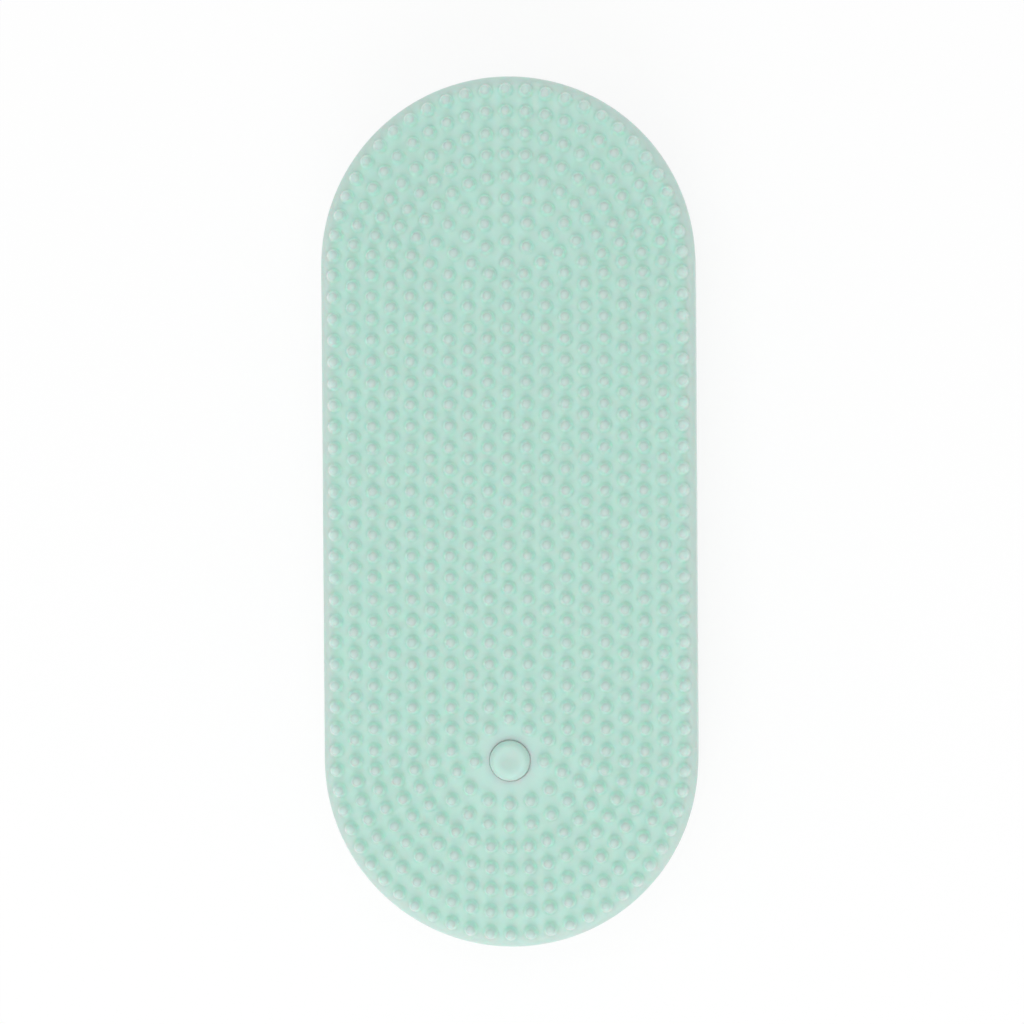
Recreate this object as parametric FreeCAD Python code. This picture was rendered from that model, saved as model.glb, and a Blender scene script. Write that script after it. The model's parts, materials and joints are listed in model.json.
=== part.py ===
"""Slim vibrating facial cleansing brush: a silicone nub face on a sealed, rechargeable body.

Millimetres. The brush lies on its back: +Z points out of the nub face, and +Y along the body, away from the
power key. The origin is at the middle of the resting face.
"""
import FreeCAD, Part
import math
import os

V = FreeCAD.Vector

# Overall form
LENGTH = 130.0
WIDTH = 56.0
BODY_DEPTH = 21.0
PARTING_Z = 12.0
FRONT_EDGE_ROUND = 1.5
BACK_EDGE_ROUND = 5.0
SEAM_ROUND = 0.3

# Walls
SKIN = 1.5
SHELL_WALL = 1.8
FLANGE_DEPTH = 1.6
FLANGE_HEIGHT = 2.4
BOND_GAP = 0.05
CORNER_ROUND = 0.4
ROOM_ROUND = 1.2

# Nubs
COLUMN_PITCH_WANTED = 2.9
ROW_PITCH_WANTED = 3.24
ARC_PITCH_WANTED = 2.99
SIDE_INSET = 2.03
END_INSET = 2.17
NUB_HEIGHT = 1.8
NUB_BASE_R = 0.95
NUB_TIP_R = 0.74
NUB_DOME = 0.45
NUB_ROOT = 0.4

# Grip grooves of the back
GROOVE_COUNT = 3
GROOVE_PITCH = 5.5
GROOVE_WIDTH = 1.2
GROOVE_DEPTH = 0.5
GROOVE_INSET = 8.5

# Power key
KEY_R = 3.0
KEY_GAP = 0.15
KEY_RISE = 1.6
KEY_LIFT = 0.8
KEY_DOME = 0.5
KEY_CLEAR = 0.1
STEM_R = 1.6
STEM_FIT = 0.08
STEM_GRIP = 1.0
KEY_FLANGE_R = 2.6
KEY_FLANGE = 0.9
KEY_FOOT_R = 1.5
KEY_FOOT = 0.8
KEY_REST_GAP = 0.1
SEAL_R = 2.6
SEAL_HEIGHT = 0.6

# Tact switch
SWITCH_SIDE = 6.0
SWITCH_HEIGHT = 2.9
ACTUATOR_R = 1.7
ACTUATOR_STICK = 0.9
ACTUATOR_ROOT = 0.6
ACTUATOR_WELL = 1.3

# Running clearance of a moving piece, and of a piece that is only seated
RUN_FIT = 0.03
FIT = 0.05

# Circuit board
BOARD_THICK = 1.0
BOARD_HALF = 16.5
BOARD_AHEAD = 24.0
BOARD_BEHIND = 19.0
BOARD_POST_R = 1.9
BOARD_POST_X = 12.5
BOARD_POST_AHEAD = 20.0
BOARD_POST_BEHIND = 9.0
LED_BEHIND = 7.0
LED_SIZE = (1.6, 1.6, 0.6)
PIPE_R = 1.2
PIPE_COLLAR_R = 1.9
PIPE_COLLAR = 0.8
PIPE_GAP = 0.3

# Screws: core radius, head radius, head height, length under the head
SHELL_SCREW = (0.95, 1.8, 1.3, 13.0)
BOARD_SCREW = (0.75, 1.5, 0.9, 4.5)
CLAMP_SCREW = (0.8, 1.6, 1.0, 5.0)
RECESS_WIDTH = 0.45
RECESS_SHARE = 0.6
SHELL_POST_R = 2.6
SHELL_POST_ROOM = 2.25
SHELL_POST_ROWS = (-34.0, 0.0, 34.0)

# Motor
CAN_R = 5.0
CAN_LENGTH = 18.5
CAN_WALL = 0.5
SHAFT_R = 0.75
SHAFT_SETBACK = 0.2
BUSHING_R = 1.1
NOSE_LENGTH = 1.0
BUSHING_LENGTH = 1.8
CAP_PLUG = 1.6
CAP_RIM = 0.8
MAGNET_WALL = 0.65
ARMATURE_GAP = 0.25
SLOT_R = 0.95
SLOT_PLACE_R = 2.2
SLOT_MOUTH = 0.6
WINDING_OVERHANG = 0.8
ARMATURE_REAR_ROOM = 4.0
ARMATURE_FRONT_ROOM = 3.2
MAGNET_OVERHANG = 1.0
MAGNET_SPLIT = 4.0
COMMUTATOR_R = 1.3
COMMUTATOR_GAP = 0.4
COMMUTATOR_LENGTH = 2.2
BRUSH_WIDTH = 1.4
BRUSH_THICK = 0.25
TERMINAL_LENGTH = 3.0
WEIGHT_R = 4.3
WEIGHT_HUB_R = 1.6
WEIGHT_LENGTH = 6.0
WEIGHT_GAP = 1.2
TIP_LENGTH = 0.8
TIP_ROOM = 1.0
SLEEVE_WALL = 0.8
SLEEVE_LENGTH = 16.0
SADDLE_FLOOR = 0.6
SADDLE_HALF = 7.0
SADDLE_THICK = 2.0
SADDLE_OFFSET = 6.3
CLAMP_WIDTH = 8.0
CLAMP_WALL = 1.2
CLAMP_POST_X = 9.4
CLAMP_POST_R = 1.9
CLAMP_FOOT_DROP = 1.7

# Battery
CELL_WIDTH = 30.0
CELL_LENGTH = 36.0
CELL_THICK = 5.5
CELL_ROUND = 1.5
CELL_CIRCUIT = (24.0, 3.0, 3.8)
CELL_ROOM = 0.25
PAD_THICK = 0.8
PAD_BORDER = 2.0
RIB_THICK = 1.2
RIB_HEIGHT = 3.2
RIB_HALF = 11.0

# Leads
LEAD_R = 0.5
LEAD_SPAN = 6.0
LEAD_END_GAP = 0.1
LEAD_EDGE_ROOM = 0.8
MOTOR_LEAD_X = 2.2
CELL_LEAD_X = 7.0
SOLDER = (1.6, 1.8, 1.25)

# Charge socket for a 2.5 mm jack plug
JACK_R = 1.3
JACK_DEPTH = 11.5
NOSE_R = 2.3
SOCKET_HALF = 3.2
SOCKET_HEIGHT = 6.6
SOCKET_LENGTH = 9.0
SOCKET_BELOW_BOARD = 3.5
MOUTH_RECESS = 0.5
MOUTH_GAP = 0.15
SOCKET_SEAL_WALL = 0.6
SOCKET_SEAL_LENGTH = 2.4
SOCKET_ROOM = 0.3
WINDOW_SHARE = 0.8
CONTACT = (0.3, 1.6, 1.0)
CONTACT_DEEP = 8.5
CONTACT_SHALLOW = 5.8

# Gasket between the shells
GASKET_WIDTH = 1.2
GASKET_HEIGHT = 0.8
GASKET_INSET = 1.1

# Worked out from the sizes above
HALF_W = WIDTH / 2
HALF_L = LENGTH / 2
ARC_Y = HALF_L - HALF_W
SHELL_TOP = BODY_DEPTH - SKIN
CEILING = SHELL_TOP - SHELL_WALL
FLOOR = SKIN + SHELL_WALL
SHELL_HALF = HALF_W - SKIN - BOND_GAP
ROOM_HALF = SHELL_HALF - SHELL_WALL
FLANGE_HALF = ROOM_HALF - FLANGE_DEPTH
FLANGE_END = ARC_Y + FLANGE_HALF

KEY_Y = -ARC_Y
FLANGE_TOP = CEILING - KEY_REST_GAP
ACTUATOR_TOP = FLANGE_TOP - KEY_FLANGE - KEY_FOOT
SWITCH_TOP = ACTUATOR_TOP - ACTUATOR_STICK
BOARD_TOP = SWITCH_TOP - SWITCH_HEIGHT
BOARD_Z = BOARD_TOP - BOARD_THICK
BOARD_FRONT = KEY_Y + BOARD_AHEAD
BOARD_TAIL = KEY_Y - BOARD_BEHIND
LED_Y = KEY_Y - LED_BEHIND

TIP_Y = FLANGE_END - TIP_ROOM
WEIGHT_FRONT = TIP_Y - TIP_LENGTH
WEIGHT_REAR = WEIGHT_FRONT - WEIGHT_LENGTH
NOSE_FRONT = WEIGHT_REAR - WEIGHT_GAP
CAN_FRONT = NOSE_FRONT - NOSE_LENGTH
CAN_REAR = CAN_FRONT - CAN_LENGTH
CAN_MIDDLE = (CAN_FRONT + CAN_REAR) / 2
CAN_BORE_R = CAN_R - CAN_WALL
CAP_REAR = CAN_REAR - CAP_RIM
TERMINAL_END = CAP_REAR - TERMINAL_LENGTH
SLEEVE_R = CAN_R + FIT + SLEEVE_WALL
MOTOR_Z = FLOOR + SADDLE_FLOOR + SLEEVE_R
MAGNET_BORE_R = CAN_BORE_R - FIT - MAGNET_WALL
ARMATURE_R = MAGNET_BORE_R - ARMATURE_GAP
ARMATURE_REAR = CAN_REAR + CAP_PLUG + ARMATURE_REAR_ROOM
ARMATURE_FRONT = CAN_FRONT - ARMATURE_FRONT_ROOM
COMMUTATOR_REAR = CAN_REAR + CAP_PLUG + COMMUTATOR_GAP
CLAMP_FOOT_Z = MOTOR_Z - CLAMP_FOOT_DROP

CELL_FRONT = TERMINAL_END - RIB_THICK - 2 * CELL_ROOM
CELL_BACK = CELL_FRONT - CELL_LENGTH
CELL_Z = FLOOR + PAD_THICK
CELL_TOP = CELL_Z + CELL_THICK
SOLDER_Y = CELL_BACK - LEAD_SPAN

SOCKET_Z = BOARD_Z - SOCKET_BELOW_BOARD
SOCKET_REAR = -FLANGE_END + SOCKET_ROOM
MOUTH_Y = -HALF_L + MOUTH_RECESS
SOCKET_HOLE_R = NOSE_R + SOCKET_SEAL_WALL

SHELL_SCREW_SEAT = SKIN + SHELL_SCREW[2] + FIT
POST_X = ROOM_HALF - SHELL_POST_R - SHELL_POST_ROOM
POST_PLACES = [(side * POST_X, row) for side in (-1, 1) for row in SHELL_POST_ROWS]
BOARD_POST_ROWS = (KEY_Y + BOARD_POST_AHEAD, KEY_Y - BOARD_POST_BEHIND)
BOARD_POST_PLACES = [(side * BOARD_POST_X, row) for side in (-1, 1) for row in BOARD_POST_ROWS]
CLAMP_POST_PLACES = [(side * CLAMP_POST_X, CAN_MIDDLE) for side in (-1, 1)]


# Basic shapes

def box(x0, x1, y0, y1, z0, z1):
    return Part.makeBox(x1 - x0, y1 - y0, z1 - z0, V(x0, y0, z0))


def rod_z(radius, z0, z1, x=0.0, y=0.0):
    return Part.makeCylinder(radius, z1 - z0, V(x, y, z0))


def rod_y(radius, y0, y1, x=0.0, z=0.0):
    return Part.makeCylinder(radius, y1 - y0, V(x, y0, z), V(0, 1, 0))


def tube_y(outer, inner, y0, y1, x=0.0, z=0.0):
    return rod_y(outer, y0, y1, x, z).cut(rod_y(inner, y0 - 1, y1 + 1, x, z))


def stadium(half, z0, z1):
    """An upright block with straight sides and round ends, whose arcs share the body's arc centres."""
    right_top = V(half, ARC_Y, z0)
    left_top = V(-half, ARC_Y, z0)
    left_low = V(-half, -ARC_Y, z0)
    right_low = V(half, -ARC_Y, z0)
    edges = [
        Part.Arc(right_top, V(0, ARC_Y + half, z0), left_top).toShape(),
        Part.LineSegment(left_top, left_low).toShape(),
        Part.Arc(left_low, V(0, -ARC_Y - half, z0), right_low).toShape(),
        Part.LineSegment(right_low, right_top).toShape(),
    ]
    return Part.Face(Part.Wire(edges)).extrude(V(0, 0, z1 - z0))


def stadium_ring(outer, inner, z0, z1):
    return stadium(outer, z0, z1).cut(stadium(inner, z0 - 1, z1 + 1))


def rounded(shape, z, radius):
    """The shape with every edge that lies at height z rounded."""
    edges = []
    for edge in shape.Edges:
        bounds = edge.BoundBox
        if abs(bounds.ZMin - z) < 1e-4 and abs(bounds.ZMax - z) < 1e-4:
            edges.append(edge)
    return shape.makeFillet(radius, edges)


def dome(radius, rise, z, x=0.0, y=0.0):
    """A shallow spherical cap of the given base radius, standing on height z."""
    sphere_r = (radius * radius + rise * rise) / (2 * rise)
    ball = Part.makeSphere(sphere_r, V(x, y, z + rise - sphere_r))
    return ball.common(rod_z(radius, z, z + rise + 1, x, y))


def screw(sizes, x, y, seat_z, up):
    """A pan-head screw with a cross recess. Its head bears at seat_z, and its shank points up or down."""
    core, head_r, head_height, length = sizes
    head = rod_z(head_r, seat_z - head_height, seat_z, x, y)
    shank = rod_z(core, seat_z, seat_z + length, x, y)
    low = seat_z - head_height
    half = RECESS_WIDTH / 2
    reach = head_r * RECESS_SHARE
    depth = head_height * RECESS_SHARE
    slot_a = box(x - reach, x + reach, y - half, y + half, low - 1, low + depth)
    slot_b = box(x - half, x + half, y - reach, y + reach, low - 1, low + depth)
    made = head.fuse(shank).cut([slot_a, slot_b])
    if not up:
        made = made.mirror(V(x, y, seat_z), V(0, 0, 1))
    return made


def pilot_hole(sizes, x, y, seat_z, mouth_z):
    """The blind hole, open at mouth_z, for a screw that points up."""
    core, head_r, head_height, length = sizes
    return rod_z(core + FIT, mouth_z - 1, seat_z + length + FIT, x, y)


def save(name, shape):
    shape.exportStep("parts/" + name + ".step")
    print(f"{name:20s} solids {len(shape.Solids)}  volume {shape.Volume:.2f}  valid {shape.isValid()}")


def save_group(name, shapes):
    save(name, Part.makeCompound(shapes))


# Nub field

LOOPS = round((HALF_W - SIDE_INSET) / COLUMN_PITCH_WANTED)
COLUMN_PITCH = (HALF_W - SIDE_INSET) / LOOPS
APEX_Y = HALF_L - END_INSET
ROWS = round(2 * APEX_Y / ROW_PITCH_WANTED)
ROW_PITCH = 2 * APEX_Y / ROWS


def loop_places(loop):
    """Nub places of one closed loop, all but those of the centre column. Loop 1 is the outermost.

    Each end is an arc whose top is a nub of the centre column. The sides are straight columns, and every
    other loop stands half a row off its neighbours.
    """
    radius = (LOOPS + 1 - loop) * COLUMN_PITCH
    arc_y = APEX_Y - (loop - 1) * ROW_PITCH - radius
    first_y = APEX_Y - (LOOPS - 1) * ROW_PITCH - (ROW_PITCH / 2 if loop % 2 else 0)
    bend = math.acos(min(1.0, max(0.0, (first_y - arc_y) / radius)))
    path = radius * bend + max(0.0, arc_y - first_y)
    steps = max(1, round(path / ARC_PITCH_WANTED))
    places = []
    for step in range(1, steps):
        along = path * step / steps
        turn = min(along / radius, math.pi / 2)
        x = radius * math.sin(turn)
        y = arc_y + radius * math.cos(turn) - max(0.0, along - radius * math.pi / 2)
        places += [(x, y), (-x, y), (x, -y), (-x, -y)]
    for row in range(round(2 * first_y / ROW_PITCH) + 1):
        y = first_y - row * ROW_PITCH
        over = max(0.0, abs(y) - arc_y)
        x = math.sqrt(radius * radius - over * over)
        places += [(x, y), (-x, y)]
    return places


def nub_places():
    places = [(0.0, APEX_Y - row * ROW_PITCH) for row in range(ROWS + 1)]
    for loop in range(1, LOOPS + 1):
        places += loop_places(loop)
    keep_off = KEY_R + KEY_GAP + NUB_BASE_R + KEY_CLEAR
    return [(x, y) for x, y in places if math.hypot(x, y - KEY_Y) > keep_off]


def nub():
    """One round-tipped nub at the origin, rooted a little below the face."""
    cone_top = NUB_HEIGHT - NUB_DOME
    cone = Part.makeCone(NUB_BASE_R, NUB_TIP_R, cone_top + NUB_ROOT, V(0, 0, -NUB_ROOT))
    return cone.fuse(dome(NUB_TIP_R, NUB_DOME, cone_top))


# Skins

def front_skin():
    body = stadium(HALF_W, PARTING_Z, BODY_DEPTH)
    body = rounded(body, BODY_DEPTH, FRONT_EDGE_ROUND)
    body = rounded(body, PARTING_Z, SEAM_ROUND)
    room = rounded(stadium(HALF_W - SKIN, PARTING_Z, SHELL_TOP), SHELL_TOP, CORNER_ROUND)
    key_hole = rod_z(KEY_R + KEY_GAP, SHELL_TOP - 1, BODY_DEPTH + 1, 0, KEY_Y)
    body = body.cut([room, key_hole])
    one = nub()
    nubs = [one.translated(V(x, y, BODY_DEPTH)) for x, y in nub_places()]
    return body.fuse(nubs)


def back_skin():
    body = stadium(HALF_W, 0, PARTING_Z)
    body = rounded(body, 0, BACK_EDGE_ROUND)
    body = rounded(body, PARTING_Z, SEAM_ROUND)
    room = rounded(stadium(HALF_W - SKIN, SKIN, PARTING_Z), SKIN, BACK_EDGE_ROUND - SKIN)
    cuts = [room, rod_y(NOSE_R + MOUTH_GAP, -HALF_L - 1, -HALF_L + SKIN + 1, 0, SOCKET_Z)]
    for groove in range(GROOVE_COUNT):
        outer = HALF_W - GROOVE_INSET - groove * GROOVE_PITCH
        cuts.append(stadium_ring(outer, outer - GROOVE_WIDTH, -1, GROOVE_DEPTH))
    return body.cut(cuts)


# Shells

def front_shell():
    body = rounded(stadium(SHELL_HALF, PARTING_Z, SHELL_TOP), SHELL_TOP, CORNER_ROUND)
    room = rounded(stadium(ROOM_HALF, PARTING_Z + FLANGE_HEIGHT, CEILING), CEILING, ROOM_ROUND)
    mouth = stadium(FLANGE_HALF, PARTING_Z - 1, PARTING_Z + FLANGE_HEIGHT + 1)
    body = body.cut([room, mouth])
    posts = [rod_z(SHELL_POST_R, PARTING_Z, SHELL_TOP - 1, x, y) for x, y in POST_PLACES]
    posts += [rod_z(BOARD_POST_R, BOARD_TOP, SHELL_TOP - 1, x, y) for x, y in BOARD_POST_PLACES]
    body = body.fuse(posts)
    holes = [pilot_hole(SHELL_SCREW, x, y, SHELL_SCREW_SEAT, PARTING_Z) for x, y in POST_PLACES]
    holes += [pilot_hole(BOARD_SCREW, x, y, BOARD_Z, BOARD_TOP) for x, y in BOARD_POST_PLACES]
    holes.append(rod_z(STEM_R + STEM_FIT, CEILING - 1, SHELL_TOP + 1, 0, KEY_Y))
    holes.append(rod_z(SEAL_R + FIT, SHELL_TOP - SEAL_HEIGHT, SHELL_TOP + 1, 0, KEY_Y))
    holes.append(rod_z(PIPE_R + FIT, CEILING - 1, SHELL_TOP + 1, 0, LED_Y))
    return body.cut(holes)



def back_shell():
    body = stadium(SHELL_HALF, SKIN, PARTING_Z)
    body = rounded(body, SKIN, BACK_EDGE_ROUND - SKIN - BOND_GAP)
    room = rounded(stadium(ROOM_HALF, FLOOR, PARTING_Z - FLANGE_HEIGHT), FLOOR, ROOM_ROUND)
    mouth = stadium(FLANGE_HALF, PARTING_Z - FLANGE_HEIGHT - 1, PARTING_Z + 1)
    groove_half = SHELL_HALF - GASKET_INSET
    groove = stadium_ring(groove_half, groove_half - GASKET_WIDTH, PARTING_Z - GASKET_HEIGHT, PARTING_Z + 1)
    body = body.cut([room, mouth, groove])
    root = SKIN + 1
    added = [rod_z(SHELL_POST_R, root, PARTING_Z, x, y) for x, y in POST_PLACES]
    added += [rod_z(CLAMP_POST_R, root, CLAMP_FOOT_Z, x, y) for x, y in CLAMP_POST_PLACES]
    for side in (-1, 1):
        middle = CAN_MIDDLE + side * SADDLE_OFFSET
        half = SADDLE_THICK / 2
        added.append(box(-SADDLE_HALF, SADDLE_HALF, middle - half, middle + half, root, CLAMP_FOOT_Z))
    for rib_y in (CELL_FRONT + CELL_ROOM, CELL_BACK - CELL_ROOM - RIB_THICK):
        added.append(box(-RIB_HALF, RIB_HALF, rib_y, rib_y + RIB_THICK, root, FLOOR + RIB_HEIGHT))
    body = body.fuse(added)
    core, head_r, head_height, length = SHELL_SCREW
    cuts = [rod_y(SLEEVE_R + FIT, CAN_REAR, CAN_FRONT, 0, MOTOR_Z)]
    cuts += [rod_z(core + FIT, 0, PARTING_Z + 1, x, y) for x, y in POST_PLACES]
    cuts += [rod_z(head_r + FIT, 0, SHELL_SCREW_SEAT, x, y) for x, y in POST_PLACES]
    pilot = CLAMP_SCREW[0] + FIT
    pilot_low = CLAMP_FOOT_Z + CLAMP_WALL - CLAMP_SCREW[3] - FIT
    cuts += [rod_z(pilot, pilot_low, CLAMP_FOOT_Z + 1, x, y) for x, y in CLAMP_POST_PLACES]
    cuts.append(rod_y(SOCKET_HOLE_R, -HALF_L, -FLANGE_END + 1, 0, SOCKET_Z))
    return body.cut(cuts)


def shell_gasket():
    outer = SHELL_HALF - GASKET_INSET - FIT
    inner = SHELL_HALF - GASKET_INSET - GASKET_WIDTH + FIT
    return stadium_ring(outer, inner, PARTING_Z - GASKET_HEIGHT, PARTING_Z)


# Power key and switch

def button_cap():
    low = SHELL_TOP + KEY_LIFT
    top = BODY_DEPTH + KEY_RISE
    crown = dome(KEY_R, KEY_DOME, top - KEY_DOME, 0, KEY_Y)
    body = rod_z(KEY_R, low, top - KEY_DOME, 0, KEY_Y).fuse(crown)
    return body.cut(rod_z(STEM_R + FIT, low - 1, low + STEM_GRIP, 0, KEY_Y))


def button_plunger():
    flange_low = FLANGE_TOP - KEY_FLANGE
    stem = rod_z(STEM_R, flange_low, SHELL_TOP + KEY_LIFT + STEM_GRIP, 0, KEY_Y)
    flange = rod_z(KEY_FLANGE_R, flange_low, FLANGE_TOP, 0, KEY_Y)
    foot = rod_z(KEY_FOOT_R, ACTUATOR_TOP, FLANGE_TOP, 0, KEY_Y)
    return stem.fuse([flange, foot]).removeSplitter()


def button_seal():
    ring = rod_z(SEAL_R, SHELL_TOP - SEAL_HEIGHT, SHELL_TOP, 0, KEY_Y)
    return ring.cut(rod_z(STEM_R + RUN_FIT, CEILING, SHELL_TOP + 1, 0, KEY_Y))


def tact_switch():
    half = SWITCH_SIDE / 2
    body = box(-half, half, KEY_Y - half, KEY_Y + half, BOARD_TOP, SWITCH_TOP)
    return body.cut(rod_z(ACTUATOR_R + RUN_FIT, SWITCH_TOP - ACTUATOR_WELL, SWITCH_TOP + 1, 0, KEY_Y))


def switch_actuator():
    return rod_z(ACTUATOR_R, SWITCH_TOP - ACTUATOR_ROOT, ACTUATOR_TOP, 0, KEY_Y)


# Circuit board

def circuit_board():
    tail_y = BOARD_TAIL + BOARD_HALF
    body = box(-BOARD_HALF, BOARD_HALF, tail_y, BOARD_FRONT, BOARD_Z, BOARD_TOP)
    body = body.fuse(rod_z(BOARD_HALF, BOARD_Z, BOARD_TOP, 0, tail_y)).removeSplitter()
    hole_r = BOARD_SCREW[0] + 2 * FIT
    return body.cut([rod_z(hole_r, BOARD_Z - 1, BOARD_TOP + 1, x, y) for x, y in BOARD_POST_PLACES])


def chip(x, y, width, length, height):
    return box(x - width / 2, x + width / 2, y - length / 2, y + length / 2, BOARD_TOP, BOARD_TOP + height)


def board_chips():
    """Controller, charger, coil and motor driver, and a row of small capacitors."""
    chips = [
        chip(-8.0, KEY_Y + 9.0, 5.0, 5.0, 0.9),
        chip(8.0, KEY_Y + 9.5, 3.0, 3.0, 0.8),
        chip(9.5, KEY_Y + 1.0, 4.0, 4.0, 2.0),
        chip(-9.5, KEY_Y + 1.0, 3.0, 3.0, 1.0),
    ]
    for place in range(5):
        chips.append(chip(-4.0 + 2.0 * place, KEY_Y + 16.0, 0.8, 1.6, 0.8))
    return chips


def status_led():
    width, length, height = LED_SIZE
    return chip(0, LED_Y, width, length, height)


def light_pipe():
    low = BOARD_TOP + LED_SIZE[2] + PIPE_GAP
    pipe = rod_z(PIPE_R, low, SHELL_TOP, 0, LED_Y)
    return pipe.fuse(rod_z(PIPE_COLLAR_R, CEILING - PIPE_COLLAR, CEILING, 0, LED_Y)).removeSplitter()


def solder_joints():
    width, length, height = SOLDER
    half = width / 2
    rear = SOLDER_Y - length
    places = (-CELL_LEAD_X, -MOTOR_LEAD_X, MOTOR_LEAD_X, CELL_LEAD_X)
    return [box(x - half, x + half, rear, SOLDER_Y, BOARD_Z - height, BOARD_Z) for x in places]


# Motor, lying along Y at MOTOR_Z

def motor_rod(radius, y0, y1):
    return rod_y(radius, y0, y1, 0, MOTOR_Z)


def motor_tube(outer, inner, y0, y1):
    return tube_y(outer, inner, y0, y1, 0, MOTOR_Z)


def motor_can():
    room = motor_rod(CAN_BORE_R, CAN_REAR - 1, CAN_FRONT - CAN_WALL)
    hole = motor_rod(BUSHING_R + FIT, CAN_REAR, CAN_FRONT + 1)
    return motor_rod(CAN_R, CAN_REAR, CAN_FRONT).cut([room, hole])


def motor_end_cap():
    plug = motor_rod(CAN_BORE_R - FIT, CAN_REAR, CAN_REAR + CAP_PLUG)
    rim = motor_rod(CAN_R, CAP_REAR, CAN_REAR)
    cuts = [motor_rod(BUSHING_R + FIT, CAP_REAR - 1, CAN_REAR + CAP_PLUG + 1), brush(-1, FIT), brush(1, FIT)]
    return plug.fuse(rim).cut(cuts)


def brush(side, grow=0.0):
    """A contact strip: its front end rides on the commutator and its tail is the motor's terminal."""
    near = COMMUTATOR_R + FIT
    far = near + BRUSH_THICK
    low, high = sorted((side * near, side * far))
    half = BRUSH_WIDTH / 2 + grow
    front = COMMUTATOR_REAR + COMMUTATOR_LENGTH
    return box(low - grow, high + grow, TERMINAL_END, front, MOTOR_Z - half, MOTOR_Z + half)


def motor_bushings():
    rears = (NOSE_FRONT - BUSHING_LENGTH, CAP_REAR)
    return [motor_tube(BUSHING_R, SHAFT_R + RUN_FIT, rear, rear + BUSHING_LENGTH) for rear in rears]


def motor_magnets():
    rear = ARMATURE_REAR - MAGNET_OVERHANG
    front = ARMATURE_FRONT + MAGNET_OVERHANG
    half = MAGNET_SPLIT / 2
    ring = motor_tube(CAN_BORE_R - FIT, MAGNET_BORE_R, rear, front)
    return ring.cut(box(-half, half, rear - 1, front + 1, MOTOR_Z - CAN_R, MOTOR_Z + CAN_R))


def slot_turns():
    return [120 * slot for slot in range(3)]


def slot_rod(radius, y0, y1, turn):
    """A rod along one winding slot of the armature; the first slot is the top one."""
    rod = rod_y(radius, y0, y1, 0, MOTOR_Z + SLOT_PLACE_R)
    rod.rotate(V(0, 0, MOTOR_Z), V(0, 1, 0), turn)
    return rod


def armature():
    rear = ARMATURE_REAR - 1
    front = ARMATURE_FRONT + 1
    half = SLOT_MOUTH / 2
    cuts = []
    for turn in slot_turns():
        mouth = box(-half, half, rear, front, MOTOR_Z + SLOT_PLACE_R, MOTOR_Z + CAN_R)
        mouth.rotate(V(0, 0, MOTOR_Z), V(0, 1, 0), turn)
        cuts += [slot_rod(SLOT_R, rear, front, turn), mouth]
    return motor_tube(ARMATURE_R, SHAFT_R + RUN_FIT, ARMATURE_REAR, ARMATURE_FRONT).cut(cuts)


def armature_windings():
    rear = ARMATURE_REAR - WINDING_OVERHANG
    front = ARMATURE_FRONT + WINDING_OVERHANG
    return [slot_rod(SLOT_R - FIT, rear, front, turn) for turn in slot_turns()]


def commutator():
    front = COMMUTATOR_REAR + COMMUTATOR_LENGTH
    return motor_tube(COMMUTATOR_R, SHAFT_R + RUN_FIT, COMMUTATOR_REAR, front)


def motor_shaft():
    return motor_rod(SHAFT_R, CAP_REAR + SHAFT_SETBACK, TIP_Y)


def eccentric_weight():
    """A half disc hanging below the shaft, on a round hub."""
    upper = box(-CAN_R, CAN_R, WEIGHT_REAR - 1, WEIGHT_FRONT + 1, MOTOR_Z, MOTOR_Z + CAN_R)
    disc = motor_rod(WEIGHT_R, WEIGHT_REAR, WEIGHT_FRONT).cut(upper)
    hub = motor_rod(WEIGHT_HUB_R, WEIGHT_REAR, WEIGHT_FRONT)
    return disc.fuse(hub).cut(motor_rod(SHAFT_R + RUN_FIT, WEIGHT_REAR - 1, WEIGHT_FRONT + 1))


def motor_sleeve():
    half = SLEEVE_LENGTH / 2
    return motor_tube(SLEEVE_R, CAN_R + FIT, CAN_MIDDLE - half, CAN_MIDDLE + half)


def motor_clamp():
    """A strap over the sleeve with a screwed foot on each side."""
    rear = CAN_MIDDLE - CLAMP_WIDTH / 2
    front = CAN_MIDDLE + CLAMP_WIDTH / 2
    inner = SLEEVE_R + FIT
    outer = inner + CLAMP_WALL
    foot_top = CLAMP_FOOT_Z + CLAMP_WALL
    reach = CLAMP_POST_X + CLAMP_POST_R
    strap = motor_rod(outer, rear, front)
    strap = strap.cut(box(-outer - 1, outer + 1, rear - 1, front + 1, 0, CLAMP_FOOT_Z))
    feet = box(-reach, reach, rear, front, CLAMP_FOOT_Z, foot_top)
    legs = box(-outer, outer, rear, front, CLAMP_FOOT_Z, MOTOR_Z)
    cuts = [motor_rod(inner, rear - 1, front + 1), box(-inner, inner, rear - 1, front + 1, 0, MOTOR_Z)]
    cuts += [rod_z(CLAMP_SCREW[0] + 2 * FIT, 0, foot_top + 1, x, y) for x, y in CLAMP_POST_PLACES]
    return strap.fuse([feet, legs]).cut(cuts).removeSplitter()


# Battery

def battery_cell():
    half = CELL_WIDTH / 2
    body = box(-half, half, CELL_BACK + CELL_CIRCUIT[1], CELL_FRONT, CELL_Z, CELL_TOP)
    edges = [edge for edge in body.Edges if edge.BoundBox.YLength > CELL_LENGTH / 2]
    return body.makeFillet(CELL_ROUND, edges)


def cell_circuit():
    width, length, height = CELL_CIRCUIT
    return box(-width / 2, width / 2, CELL_BACK, CELL_BACK + length, CELL_Z, CELL_Z + height)


def battery_pad():
    half = CELL_WIDTH / 2 - PAD_BORDER
    return box(-half, half, CELL_BACK + PAD_BORDER, CELL_FRONT - PAD_BORDER, FLOOR, CELL_Z)


# Leads

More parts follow.
